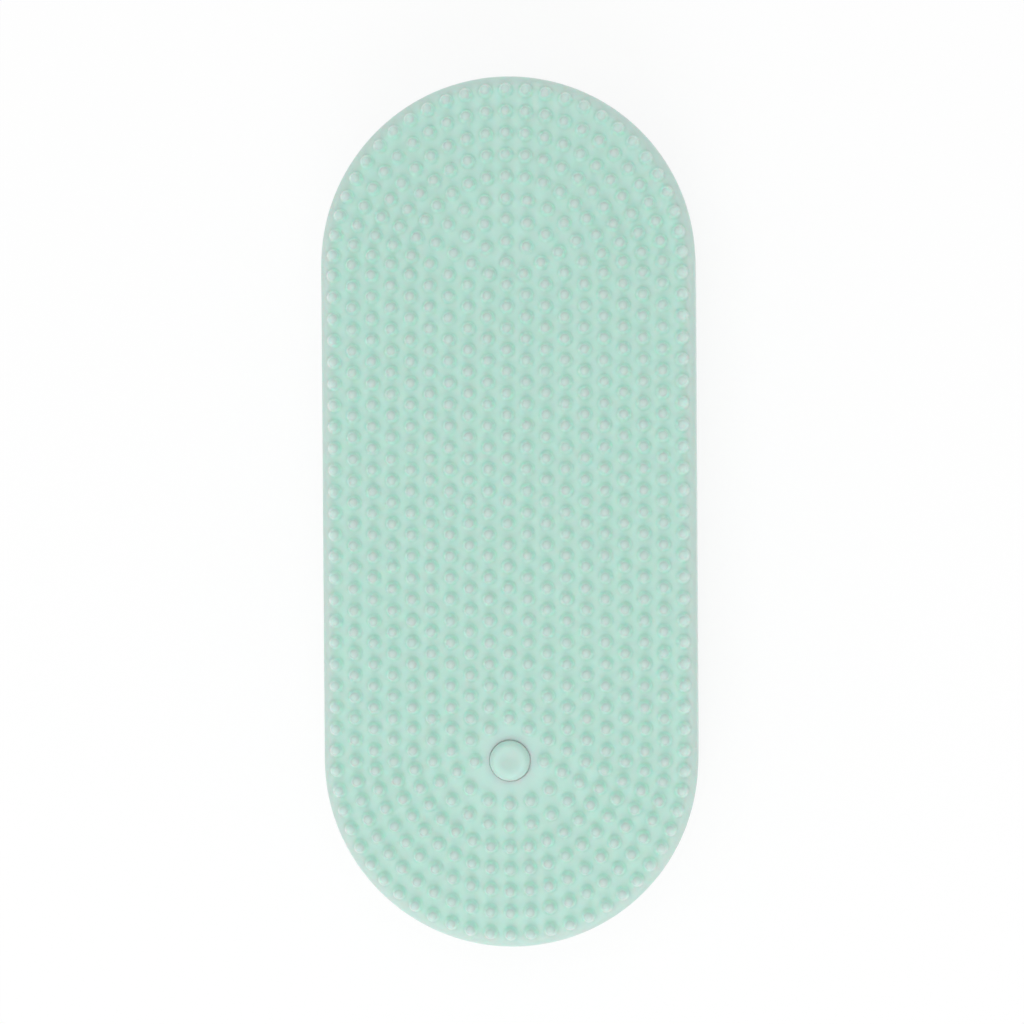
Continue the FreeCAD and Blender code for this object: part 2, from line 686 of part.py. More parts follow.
def lead_path(points):
    """Straight runs joined by tangent arcs, each as large as its two runs allow."""
    edges = []
    start = points[0]
    for before, here, after in zip(points, points[1:], points[2:]):
        back = before - here
        ahead = after - here
        turn = math.pi - back.getAngle(ahead)
        trim = 0.45 * min(back.Length, ahead.Length)
        radius = trim / math.tan(turn / 2)
        print(f"  arc radius {radius:.1f}")
        back.normalize()
        ahead.normalize()
        arc_start = here + back * trim
        arc_end = here + ahead * trim
        inward = back + ahead
        inward.normalize()
        middle = here + inward * (radius / math.cos(turn / 2) - radius)
        edges.append(Part.LineSegment(start, arc_start).toShape())
        edges.append(Part.Arc(arc_start, middle, arc_end).toShape())
        start = arc_end
    edges.append(Part.LineSegment(start, points[-1]).toShape())
    return Part.Wire(edges)


def lead(points):
    path = lead_path(points)
    ring = Part.Wire(Part.Circle(points[0], points[1] - points[0], LEAD_R).toShape())
    made = path.makePipeShell([ring], True, True)
    print(f"  lead length {path.Length:.2f}, volume over section times length "
          f"{made.Volume / (math.pi * LEAD_R ** 2 * path.Length):.4f}")
    return made


def battery_lead(side):
    """From the cell's circuit up to the underside of the board."""
    x = side * CELL_LEAD_X
    exit_z = CELL_Z + CELL_CIRCUIT[2] - LEAD_R - FIT
    end_z = BOARD_Z - LEAD_R - FIT
    return lead([
        V(x, CELL_BACK, exit_z),
        V(x, CELL_BACK - 1.9, exit_z),
        V(x + side * 0.2, CELL_BACK - 3.7, end_z),
        V(x, SOLDER_Y + LEAD_END_GAP, end_z),
    ])


def motor_lead(side):
    """From a motor terminal over the cell and under the front edge of the board."""
    x = side * MOTOR_LEAD_X
    over_z = CELL_TOP + LEAD_R + FIT
    end_z = BOARD_Z - LEAD_R - FIT
    return lead([
        V(x, TERMINAL_END + 2.0, MOTOR_Z + 0.2),
        V(x, TERMINAL_END - 0.6, over_z + 0.2),
        V(x + side * 0.3, TERMINAL_END - 5.0, over_z),
        V(x + side * 0.9, TERMINAL_END - 12.0, over_z),
        V(x + side * 0.3, TERMINAL_END - 24.0, over_z),
        V(x + side * 0.5, CELL_BACK - 0.6, over_z),
        V(x + side * 0.4, BOARD_FRONT + LEAD_EDGE_ROOM, min(over_z, end_z)),
        V(x, SOLDER_Y + LEAD_END_GAP, end_z),
    ])


# Charge socket

def contact_block(side, deep, near, grow):
    thick, length, height = CONTACT
    far = JACK_R + RUN_FIT + thick + grow
    low, high = sorted((side * near, side * far))
    y = MOUTH_Y + deep
    return box(low, high, y - grow, y + length + grow, SOCKET_Z - height / 2 - grow, BOARD_Z)


def socket_contact(side, deep):
    """A leaf beside the jack's bore, rising to the underside of the board."""
    return contact_block(side, deep, JACK_R + RUN_FIT, 0.0)


def contact_window(side, deep):
    """The slot that holds a leaf and opens it to the bore."""
    return contact_block(side, deep, JACK_R * WINDOW_SHARE, FIT)


def charge_socket():
    top = SOCKET_Z + SOCKET_BELOW_BOARD
    body = box(-SOCKET_HALF, SOCKET_HALF, SOCKET_REAR, SOCKET_REAR + SOCKET_LENGTH, top - SOCKET_HEIGHT, top)
    nose = rod_y(NOSE_R, MOUTH_Y, SOCKET_REAR + 1, 0, SOCKET_Z)
    cuts = [rod_y(JACK_R, MOUTH_Y - 1, MOUTH_Y + JACK_DEPTH, 0, SOCKET_Z)]
    cuts += [contact_window(1, CONTACT_DEEP), contact_window(-1, CONTACT_SHALLOW)]
    return body.fuse(nose).cut(cuts)


def socket_seal():
    middle = -ARC_Y - ROOM_HALF
    half = SOCKET_SEAL_LENGTH / 2
    return tube_y(SOCKET_HOLE_R - FIT, NOSE_R + FIT, middle - half, middle + half, 0, SOCKET_Z)


def main():
    os.makedirs("parts", exist_ok=True)
    print("nubs", len(nub_places()), "loops", LOOPS, "rows", ROWS)
    save("front_skin", front_skin())
    save("back_skin", back_skin())
    save("front_shell", front_shell())
    save("back_shell", back_shell())
    save("shell_gasket", shell_gasket())
    save_group("shell_screws", [screw(SHELL_SCREW, x, y, SHELL_SCREW_SEAT, True) for x, y in POST_PLACES])
    save("button_cap", button_cap())
    save("button_plunger", button_plunger())
    save("button_seal", button_seal())
    save("tact_switch", tact_switch())
    save("switch_actuator", switch_actuator())
    save("circuit_board", circuit_board())
    save_group("board_chips", board_chips())
    save_group("board_screws", [screw(BOARD_SCREW, x, y, BOARD_Z, True) for x, y in BOARD_POST_PLACES])
    save("status_led", status_led())
    save("light_pipe", light_pipe())
    save_group("solder_joints", solder_joints())
    save("battery_cell", battery_cell())
    save("cell_circuit", cell_circuit())
    save("battery_pad", battery_pad())
    save("battery_lead_red", battery_lead(1))
    save("battery_lead_black", battery_lead(-1))
    save("motor_can", motor_can())
    save("motor_end_cap", motor_end_cap())
    save_group("motor_brushes", [brush(-1), brush(1)])
    save_group("motor_bushings", motor_bushings())
    save("motor_magnets", motor_magnets())
    save("motor_shaft", motor_shaft())
    save("armature", armature())
    save_group("armature_windings", armature_windings())
    save("commutator", commutator())
    save("eccentric_weight", eccentric_weight())
    save("motor_sleeve", motor_sleeve())
    save("motor_clamp", motor_clamp())
    clamp_seat = CLAMP_FOOT_Z + CLAMP_WALL
    save_group("clamp_screws", [screw(CLAMP_SCREW, x, y, clamp_seat, False) for x, y in CLAMP_POST_PLACES])
    save("motor_lead_red", motor_lead(1))
    save("motor_lead_black", motor_lead(-1))
    save("charge_socket", charge_socket())
    save_group("socket_contacts", [socket_contact(1, CONTACT_DEEP), socket_contact(-1, CONTACT_SHALLOW)])
    save("socket_seal", socket_seal())


main()
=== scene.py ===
"""Looks of the silicone facial cleansing brush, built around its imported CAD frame. Lengths are metres."""
import json
import math
import random
import bpy
from mathutils import Matrix, Vector
from mathutils.geometry import delaunay_2d_cdt


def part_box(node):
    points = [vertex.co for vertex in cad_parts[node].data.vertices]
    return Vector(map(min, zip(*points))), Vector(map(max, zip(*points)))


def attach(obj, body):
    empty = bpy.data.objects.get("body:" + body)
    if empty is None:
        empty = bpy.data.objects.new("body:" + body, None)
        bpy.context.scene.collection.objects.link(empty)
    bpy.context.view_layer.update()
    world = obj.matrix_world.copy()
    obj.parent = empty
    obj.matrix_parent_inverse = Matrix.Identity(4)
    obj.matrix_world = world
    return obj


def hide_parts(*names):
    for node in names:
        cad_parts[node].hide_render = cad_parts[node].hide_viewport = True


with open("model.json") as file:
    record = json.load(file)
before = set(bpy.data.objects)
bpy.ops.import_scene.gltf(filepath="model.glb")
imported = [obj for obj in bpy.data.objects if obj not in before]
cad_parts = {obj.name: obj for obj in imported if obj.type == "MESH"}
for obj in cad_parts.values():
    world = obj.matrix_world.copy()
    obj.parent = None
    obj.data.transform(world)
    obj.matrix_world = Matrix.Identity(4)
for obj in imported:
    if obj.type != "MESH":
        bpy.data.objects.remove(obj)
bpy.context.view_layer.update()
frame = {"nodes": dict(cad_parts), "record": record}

MM = 0.001

# The front skin. Its nubs stand where the CAD's do and are as tall, with a root fillet and a fuller dome.
SKIN = 1.5 * MM
FRONT_EDGE_ROUND = 1.5 * MM
SEAM_ROUND = 0.3 * MM
NUB_HEIGHT = 1.8 * MM
NUB_BASE_R = 0.95 * MM
NUB_TIP_R = 0.71 * MM
NUB_DOME = 0.6 * MM
NUB_FILLET = 0.38 * MM
NUB_LEAN = 0.04 * MM
LEAN_SEED = 7
COLUMN_PITCH_WANTED = 2.9 * MM
ROW_PITCH_WANTED = 3.24 * MM
ARC_PITCH_WANTED = 2.99 * MM
SIDE_INSET = 2.03 * MM
END_INSET = 2.17 * MM

# The power key and its hole, which a thin wiper lip almost closes, and the room between the hole and the nubs
KEY_HOLE_GAP = 0.15 * MM
HOLE_TO_NUB = 0.1 * MM
KEY_EDGE = 1.1 * MM
KEY_DISH = 0.25 * MM
LIP_ROUND = 0.2 * MM
WIPER = 0.1 * MM
WIPER_CLEAR = 0.03 * MM

# How finely the curves are divided
NUB_SIDES = 16
NUB_FILLET_STEPS = 3
NUB_DOME_STEPS = 4
ARC_STEPS = 72
SIDE_STEPS = 40
RIM_STEPS = 5
WALL_STEPS = 4
SEAM_STEPS = 4
LIP_STEPS = 4
KEY_HOLE_SIDES = 64
KEY_SIDES = 96
KEY_EDGE_STEPS = 10
KEY_DISH_STEPS = 10
SHARP_ANGLE = math.radians(35)

# The ground between the nubs is one mesh, out to this turn of the rim's rounding. Plain rings follow it.
GROUND_END_TURN = math.radians(65)
# Rings of extra ground points on the rounding: shares of the way to its end, and room left round the nubs
RIM_RING_SHARES = (0.0, 0.3, 0.6, 0.85)
RIM_RING_CLEAR = 0.05 * MM

skin_low, skin_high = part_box("front_skin")
key_low, key_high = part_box("button_cap")
HALF_W = skin_high.x
HALF_L = skin_high.y
ARC_Y = HALF_L - HALF_W
PARTING_Z = skin_low.z
TIP_Z = skin_high.z
FACE_Z = TIP_Z - NUB_HEIGHT
KEY_R = (key_high.x - key_low.x) / 2
KEY_Y = (key_high.y + key_low.y) / 2
KEY_HOLE_R = KEY_R + KEY_HOLE_GAP

LOOPS = round((HALF_W - SIDE_INSET) / COLUMN_PITCH_WANTED)
COLUMN_PITCH = (HALF_W - SIDE_INSET) / LOOPS
APEX_Y = HALF_L - END_INSET
ROWS = round(2 * APEX_Y / ROW_PITCH_WANTED)
ROW_PITCH = 2 * APEX_Y / ROWS


# Where the nubs stand

def loop_places(loop):
    """Nub places of one closed loop, all but those of the centre column. Loop 1 is the outermost."""
    radius = (LOOPS + 1 - loop) * COLUMN_PITCH
    arc_y = APEX_Y - (loop - 1) * ROW_PITCH - radius
    first_y = APEX_Y - (LOOPS - 1) * ROW_PITCH - (ROW_PITCH / 2 if loop % 2 else 0)
    bend = math.acos(min(1.0, max(0.0, (first_y - arc_y) / radius)))
    path = radius * bend + max(0.0, arc_y - first_y)
    steps = max(1, round(path / ARC_PITCH_WANTED))
    places = []
    for step in range(1, steps):
        along = path * step / steps
        turn = min(along / radius, math.pi / 2)
        x = radius * math.sin(turn)
        y = arc_y + radius * math.cos(turn) - max(0.0, along - radius * math.pi / 2)
        places += [(x, y), (-x, y), (x, -y), (-x, -y)]
    for row in range(round(2 * first_y / ROW_PITCH) + 1):
        y = first_y - row * ROW_PITCH
        over = max(0.0, abs(y) - arc_y)
        x = math.sqrt(radius * radius - over * over)
        places += [(x, y), (-x, y)]
    return places


def nub_places():
    """All nub places, the centre column first, apart from those that the key's hole needs."""
    places = [(0.0, APEX_Y - row * ROW_PITCH) for row in range(ROWS + 1)]
    for loop in range(1, LOOPS + 1):
        places += loop_places(loop)
    keep_off = KEY_HOLE_R + NUB_BASE_R + HOLE_TO_NUB
    return [(x, y) for x, y in places if math.hypot(x, y - KEY_Y) > keep_off]


# Mesh building

class Shape:
    """Vertices and faces gathered for one mesh."""

    def __init__(self):
        self.points = []
        self.faces = []

    def ring(self, points):
        """Adds points and returns their numbers."""
        start = len(self.points)
        self.points += points
        return list(range(start, start + len(points)))

    def bridge(self, low, high):
        """Quads between two rings of one count. From outside, low runs to the right, with high above it."""
        count = len(low)
        for here in range(count):
            after = (here + 1) % count
            self.faces.append((low[here], low[after], high[after], high[here]))

    def fan(self, ring, point, flip=False):
        """Triangles from an anticlockwise ring to one point, facing up, or down if flipped."""
        centre = self.ring([point])[0]
        count = len(ring)
        for here in range(count):
            after = (here + 1) % count
            corner = (ring[here], ring[after], centre)
            self.faces.append(corner[::-1] if flip else corner)

    def make(self, name):
        """Makes the scene's object, smooth but for its sharp edges."""
        mesh = bpy.data.meshes.new(name)
        mesh.from_pydata(self.points, [], self.faces)
        mesh.validate()
        mesh.shade_smooth()
        mesh.set_sharp_from_angle(angle=SHARP_ANGLE)
        piece = bpy.data.objects.new(name, mesh)
        bpy.context.scene.collection.objects.link(piece)
        return piece


def stadium_points(half, z):
    """One anticlockwise turn of a stadium that shares the body's arc centres."""
    points = []
    for step in range(ARC_STEPS):
        turn = math.pi * step / ARC_STEPS
        points.append((half * math.cos(turn), ARC_Y + half * math.sin(turn), z))
    for step in range(SIDE_STEPS):
        points.append((-half, ARC_Y - 2 * ARC_Y * step / SIDE_STEPS, z))
    for step in range(ARC_STEPS):
        turn = math.pi + math.pi * step / ARC_STEPS
        points.append((half * math.cos(turn), -ARC_Y + half * math.sin(turn), z))
    for step in range(SIDE_STEPS):
        points.append((half, -ARC_Y + 2 * ARC_Y * step / SIDE_STEPS, z))
    return points


def circle_points(radius, z, x, y, sides):
    """One anticlockwise turn of a circle."""
    points = []
    for side in range(sides):
        turn = math.tau * side / sides
        points.append((x + radius * math.cos(turn), y + radius * math.sin(turn), z))
    return points


def quarter_turns(steps, first=0):
    """Angles that divide a quarter turn evenly, from the given step to the full quarter."""
    return [math.pi / 2 * step / steps for step in range(first, steps + 1)]


def triangulate(flat):
    """Triangles over flat points, each anticlockwise seen from above. They are found in millimetres."""
    scale = 1000.0
    tolerance = 1e-7
    found = delaunay_2d_cdt([Vector((x * scale, y * scale)) for x, y in flat], [], [], 0, tolerance)
    if len(found[0]) != len(flat):
        raise RuntimeError("two points of a flat outline coincide")
    triangles = []
    for a, b, c in found[2]:
        (ax, ay), (bx, by), (cx, cy) = flat[a], flat[b], flat[c]
        turn = (bx - ax) * (cy - ay) - (by - ay) * (cx - ax)
        triangles.append((a, b, c) if turn > 0 else (a, c, b))
    return triangles


def face_height(x, y):
    """Height of the face between nubs: flat, then rolling over at the rim."""
    out = math.hypot(x, max(0.0, abs(y) - ARC_Y)) - (HALF_W - FRONT_EDGE_ROUND)
    if out <= 0:
        return FACE_Z
    out = min(out, FRONT_EDGE_ROUND)
    return FACE_Z - FRONT_EDGE_ROUND + math.sqrt(FRONT_EDGE_ROUND ** 2 - out ** 2)


# The front skin

# What a ground point belongs to, where that isn't the root of a nub
OUTER_EDGE = -1
KEY_HOLE = -2
RIM_RING = -3


def nub_profile():
    """Rings up one nub: radius, height, and how level, from 0 as the face rolls to 1 at the shoulder."""
    profile = []
    for turn in quarter_turns(NUB_FILLET_STEPS, 1):
        profile.append((NUB_BASE_R + NUB_FILLET * (1 - math.sin(turn)), NUB_FILLET * (1 - math.cos(turn))))
    shoulder = NUB_HEIGHT - NUB_DOME
    profile.append((NUB_TIP_R, shoulder))
    # The dome's last step is the point that closes the nub, so it has no ring
    for turn in quarter_turns(NUB_DOME_STEPS, 1)[:-1]:
        profile.append((NUB_TIP_R * math.cos(turn), shoulder + NUB_DOME * math.sin(turn)))
    return [(radius, height, min(1.0, height / shoulder)) for radius, height in profile]


def ground_points(places, hole_points):
    """Flat points of the ground between the nubs, and what each belongs to: a nub's number or a mark."""
    root_r = NUB_BASE_R + NUB_FILLET
    end_half = HALF_W - FRONT_EDGE_ROUND * (1 - math.sin(GROUND_END_TURN))
    groups = [(OUTER_EDGE, stadium_points(end_half, 0)), (KEY_HOLE, hole_points)]
    for number, (x, y) in enumerate(places):
        groups.append((number, circle_points(root_r, 0, x, y, NUB_SIDES)))
    for share in RIM_RING_SHARES:
        half = HALF_W - FRONT_EDGE_ROUND + share * (end_half - HALF_W + FRONT_EDGE_ROUND)
        free = []
        for x, y, z in stadium_points(half, 0):
            if all(math.hypot(x - a, y - b) > root_r + RIM_RING_CLEAR for a, b in places):
                free.append((x, y, z))
        groups.append((RIM_RING, free))
    flat = [point[:2] for owner, points in groups for point in points]
    owners = [owner for owner, points in groups for point in points]
    return flat, owners


def raise_nub(shape, root, place, lean, profile):
    """One nub on its root ring, leaning a little, as moulded silicone does."""
    x, y = place
    lean_x, lean_y = lean
    low = root
    for radius, height, level in profile:
        bend = (height / NUB_HEIGHT) ** 2
        points = []
        for px, py, z in circle_points(radius, 0, x, y, NUB_SIDES):
            base = face_height(px, py) * (1 - level) + FACE_Z * level
            points.append((px + lean_x * bend, py + lean_y * bend, base + height))
        high = shape.ring(points)
        shape.bridge(low, high)
        low = high
    shape.fan(low, (x + lean_x, y + lean_y, TIP_Z))


def nub_face(shape, hole):
    """The ground and its nubs, out from the key's hole. Returns the ring at the ground's outer edge."""
    places = nub_places()
    flat, owners = ground_points(places, [shape.points[point] for point in hole])
    lifted = [(x, y, face_height(x, y)) for x, y in flat]
    edge_count = owners.count(OUTER_EDGE)
    first_root = edge_count + len(hole)
    edge = shape.ring(lifted[:edge_count])
    numbers = edge + hole + shape.ring(lifted[first_root:])
    for triangle in triangulate(flat):
        meets = {owners[corner] for corner in triangle}
        if len(meets) > 1 or meets & {OUTER_EDGE, RIM_RING}:
            shape.faces.append(tuple(numbers[corner] for corner in triangle))
    draw = random.Random(LEAN_SEED)
    profile = nub_profile()
    for number, place in enumerate(places):
        start = first_root + number * NUB_SIDES
        lean = (draw.uniform(-NUB_LEAN, NUB_LEAN), draw.uniform(-NUB_LEAN, NUB_LEAN))
        raise_nub(shape, numbers[start:start + NUB_SIDES], place, lean, profile)
    return edge


def key_hole(shape):
    """The hole's rings, from the face down: a rounded lip, a thin wiper near the key, the full bore."""
    wiper_r = KEY_R + WIPER_CLEAR
    profile = []
    for turn in quarter_turns(LIP_STEPS):
        profile.append((wiper_r + LIP_ROUND * (1 - math.sin(turn)), LIP_ROUND * (1 - math.cos(turn))))
    profile += [(wiper_r, LIP_ROUND + WIPER), (KEY_HOLE_R, LIP_ROUND + 3 * WIPER), (KEY_HOLE_R, SKIN)]
    rings = []
    for radius, depth in profile:
        rings.append(shape.ring(circle_points(radius, FACE_Z - depth, 0.0, KEY_Y, KEY_HOLE_SIDES)))
    for upper, lower in zip(rings, rings[1:]):
        shape.bridge(upper, lower)
    return rings


def close_ceiling(shape, wall, hole):
    """The skin's flat underside, between its inner wall and the key's hole."""
    numbers = wall + hole
    for triangle in triangulate([shape.points[point][:2] for point in numbers]):
        if any(corner < len(wall) for corner in triangle):
            shape.faces.append(tuple(numbers[corner] for corner in reversed(triangle)))


def front_skin():
    """The front skin as one closed mesh: the face, round the rim, down the wall, and back up inside."""
    shape = Shape()
    hole = key_hole(shape)
    above = nub_face(shape, hole[0])
    outline = []
    for step in range(1, RIM_STEPS + 1):
        turn = GROUND_END_TURN + (math.pi / 2 - GROUND_END_TURN) * step / RIM_STEPS
        half = HALF_W - FRONT_EDGE_ROUND * (1 - math.sin(turn))
        outline.append((half, FACE_Z - FRONT_EDGE_ROUND * (1 - math.cos(turn))))
    wall_top = FACE_Z - FRONT_EDGE_ROUND
    wall_low = PARTING_Z + SEAM_ROUND
    for step in range(1, WALL_STEPS + 1):
        outline.append((HALF_W, wall_top + (wall_low - wall_top) * step / WALL_STEPS))
    for turn in quarter_turns(SEAM_STEPS, 1):
        outline.append((HALF_W - SEAM_ROUND * (1 - math.cos(turn)), wall_low - SEAM_ROUND * math.sin(turn)))
    outline += [(HALF_W - SKIN, PARTING_Z), (HALF_W - SKIN, FACE_Z - SKIN)]
    for half, z in outline:
        below = shape.ring(stadium_points(half, z))
        shape.bridge(below, above)
        above = below
    close_ceiling(shape, above, hole[-1])
    return shape.make("nub_skin")


# The power key

def lathe(name, profile, y):
    """A closed turned piece. Its profile starts on the axis at the bottom and ends on it at the top."""
    shape = Shape()
    rings = [shape.ring(circle_points(radius, z, 0.0, y, KEY_SIDES)) for radius, z in profile[1:-1]]
    for low, high in zip(rings, rings[1:]):
        shape.bridge(low, high)
    shape.fan(rings[0], (0.0, y, profile[0][1]), flip=True)
    shape.fan(rings[-1], (0.0, y, profile[-1][1]))
    return shape.make(name)


def key_cap():
    """The power key: a plain soft disc, rounded over, with a shallow thumb dish."""
    top = key_high.z
    rise = top - FACE_Z
    profile = [(0.0, key_low.z), (KEY_R, key_low.z)]
    for turn in quarter_turns(KEY_EDGE_STEPS):
        profile.append((KEY_R - KEY_EDGE * (1 - math.cos(turn)), top - rise + rise * math.sin(turn)))
    dish_r = KEY_R - KEY_EDGE
    for step in range(1, KEY_DISH_STEPS):
        share = step / KEY_DISH_STEPS
        profile.append((dish_r * (1 - share), top - KEY_DISH * (1 - math.cos(math.pi * share)) / 2))
    profile.append((0.0, top - KEY_DISH))
    return lathe("power_key_cap", profile, KEY_Y)


# Materials

class Nodes:
    """Short forms for building one material's node tree. Texture scales are counts per metre."""

    def __init__(self, name):
        self.material = bpy.data.materials.new(name)
        self.material.use_nodes = True
        self.tree = self.material.node_tree
        self.shader = self.tree.nodes["Principled BSDF"]
        self.coords = self.tree.nodes.new("ShaderNodeTexCoord").outputs["Object"]

    def add(self, kind, **settings):
        node = self.tree.nodes.new(kind)
        for key, value in settings.items():
            setattr(node, key, value)
        return node

    def link(self, source, target):
        self.tree.links.new(source, target)

    def noise(self, scale, detail, roughness=0.55):
        node = self.add("ShaderNodeTexNoise")
        node.inputs["Scale"].default_value = scale
        node.inputs["Detail"].default_value = detail
        node.inputs["Roughness"].default_value = roughness
        self.link(self.coords, node.inputs["Vector"])
        return node.outputs["Fac"]

    def span(self, value, low, high, to_low=0.0, to_high=1.0, smooth=False):
        """A value carried from one range to another, and held at its ends."""
        node = self.add("ShaderNodeMapRange", interpolation_type="SMOOTHSTEP" if smooth else "LINEAR")
        node.inputs["From Min"].default_value = low
        node.inputs["From Max"].default_value = high
        node.inputs["To Min"].default_value = to_low
        node.inputs["To Max"].default_value = to_high
        self.link(value, node.inputs["Value"])
        return node.outputs["Result"]

    def blotches(self, scale, detail, to_low=0.0, to_high=1.0):
        """Soft patches of noise, between two values."""
        return self.span(self.noise(scale, detail), 0.3, 0.7, to_low, to_high)

    def bands(self, direction, period, wander=0.0):
        """Evenly spaced stripes across one axis, such as wire turns or laminations."""
        node = self.add("ShaderNodeTexWave", wave_type="BANDS", bands_direction=direction)
        # The texture repeats every tau / 20 at a scale of 1
        node.inputs["Scale"].default_value = math.tau / (20 * period)
        node.inputs["Distortion"].default_value = wander
        node.inputs["Detail"].default_value = 2.0
        self.link(self.coords, node.inputs["Vector"])
        return node.outputs["Fac"]

    def cells(self, size, feature="F1"):
        """Distance inside a field of cells of about the given size."""
        node = self.add("ShaderNodeTexVoronoi", feature=feature)
        node.inputs["Scale"].default_value = 1 / size
        self.link(self.coords, node.inputs["Vector"])
        return node.outputs["Distance"]

    def mix(self, factor, first, second):
        """One colour where the factor is 0 and the other where it is 1. Each is a tuple or a socket."""
        node = self.add("ShaderNodeMix", data_type="RGBA")
        self.link(factor, node.inputs["Factor"])
        for socket, colour in ((node.inputs["A"], first), (node.inputs["B"], second)):
            if isinstance(colour, tuple):
                socket.default_value = (*colour, 1.0)
            else:
                self.link(colour, socket)
        return node.outputs["Result"]

    def bump(self, height, distance, strength, under=None):
        """A bumped normal, on top of another where one is given."""
        node = self.add("ShaderNodeBump")
        node.inputs["Distance"].default_value = distance
        node.inputs["Strength"].default_value = strength
        self.link(height, node.inputs["Height"])
        if under is not None:
            self.link(under, node.inputs["Normal"])
        return node.outputs["Normal"]

    def axis(self, name):
        node = self.add("ShaderNodeSeparateXYZ")
        self.link(self.coords, node.inputs["Vector"])
        return node.outputs[name]

    def calc(self, operation, first, second=0.0):
        node = self.add("ShaderNodeMath", operation=operation)
        for socket, value in zip(node.inputs, (first, second)):
            if isinstance(value, float):
                socket.default_value = value
            else:
                self.link(value, socket)
        return node.outputs["Value"]

    def reach(self):
        """Distance from the line that joins the body's two arc centres, seen from above."""
        past_arcs = self.calc("SUBTRACT", self.calc("ABSOLUTE", self.axis("Y")), ARC_Y)
        along = self.calc("MAXIMUM", past_arcs, 0.0)
        across = self.axis("X")
        along_square = self.calc("MULTIPLY", along, along)
        across_square = self.calc("MULTIPLY", across, across)
        return self.calc("SQRT", self.calc("ADD", across_square, along_square))

    def set(self, **values):
        for key, value in values.items():
            self.shader.inputs[key.replace("_", " ")].default_value = value

    def wire(self, colour=None, roughness=None, normal=None):
        for name, source in (("Base Color", colour), ("Roughness", roughness), ("Normal", normal)):
            if source is not None:
                self.link(source, self.shader.inputs[name])


def srgb(red, green, blue):
    """A colour given in 0 to 255 display values, as linear light."""
    def line(value):
        value /= 255
        return value / 12.92 if value <= 0.04045 else ((value + 0.055) / 1.055) ** 2.4
    return (line(red), line(green), line(blue))


def dimmed(colour, share):
    """A darker tone of a colour, for its blotches."""
    return tuple(channel * share for channel in colour)


# The silicone's colours in linear light: the body and nub walls, the rim's painted sheen, the ground's
# painted bounce light, the tips' painted sheen and shade, and the key with its painted sheen
MINT = (0.485, 0.70, 0.625)
# Painted sheen: the rounded rim painted paler and greyer than the body
MINT_PAINTED_RIM_SHEEN = (0.55, 0.69, 0.64)
# Painted bounce light: the ground between the nubs, paler and greener than the body, lifting the shade there
MINT_PAINTED_GROUND_LIGHT = (0.545, 0.785, 0.70)
# Painted sheen and shade: the nub tips painted greyer than the body and dimmed against the light they catch
MINT_PAINTED_TIP_SHEEN = (0.50, 0.56, 0.54)
# Painted sheen: the key is the body's mint painted paler and greyer on its flat top
MINT_KEY_PAINTED_SHEEN = (0.525, 0.70, 0.645)

# Where those colours blend into each other: heights, and reaches from the line between the arc centres
PAINTED_GROUND_LIGHT_BLEND = (FACE_Z + 0.2 * MM, FACE_Z + 0.9 * MM)
PAINTED_TIP_SHEEN_BLEND = (FACE_Z + 0.9 * MM, TIP_Z - 0.15 * MM)
PAINTED_RIM_SHEEN_BLEND = (HALF_W - 2.3 * MM, HALF_W - 1.1 * MM)
WALL_BLEND = (FACE_Z - 4.0 * MM, FACE_Z - 1.2 * MM)


def blotched(m, body):
    """One colour in two close tones."""
    return m.mix(m.blotches(60, 2.0), dimmed(body, 0.97), body)


def nub_face_painted_light(m, body):
    """A ground painted paler and greener, painted bounce light that lifts the shade between the nubs; tips
    painted greyer and dimmed, a painted sheen and painted shade on the most exposed tops; a rim painted pale
    grey, a painted sheen; and the plain body colour down the wall.
    """
    height = m.axis("Z")
    in_nubs = m.span(height, *PAINTED_GROUND_LIGHT_BLEND, smooth=True)
    colour = m.mix(in_nubs, MINT_PAINTED_GROUND_LIGHT, m.mix(m.span(height, *PAINTED_TIP_SHEEN_BLEND, smooth=True), body, MINT_PAINTED_TIP_SHEEN))
    colour = m.mix(m.span(m.reach(), *PAINTED_RIM_SHEEN_BLEND, smooth=True), colour, MINT_PAINTED_RIM_SHEEN)
    return m.mix(m.span(height, *WALL_BLEND, smooth=True), body, colour)


def silicone(name, body, tones=blotched):
    """Matte moulded silicone, milky below the surface, with a fine frost."""
    m = Nodes(name)
    frost = m.noise(5200, 3.0, 0.6)
    grain = m.noise(1500, 2.0)
    normal = m.bump(frost, 0.02 * MM, 0.35, under=m.bump(grain, 0.04 * MM, 0.25))
    roughness = m.span(m.noise(900, 2.0), 0.25, 0.75, 0.50, 0.62)
    m.set(Subsurface_Weight=1.0, Subsurface_Radius=(0.6, 1.5, 1.2), Subsurface_Scale=1.6 * MM)
    m.set(Specular_IOR_Level=0.35, Sheen_Weight=0.6, Sheen_Roughness=0.4)
    m.wire(tones(m, body), roughness, normal)
    return m.material


def plastic(name, colour, roughness=0.45, grain=2200):
    """Moulded plastic with a fine spark-eroded texture and slight tone changes."""
    m = Nodes(name)
    body = m.mix(m.blotches(120, 3.0), dimmed(colour, 0.9), colour)
    rough = m.blotches(400, 3.0, roughness - 0.06, roughness + 0.08)
    m.wire(body, rough, m.bump(m.noise(grain, 4.0), 0.02 * MM, 0.5))
    return m.material


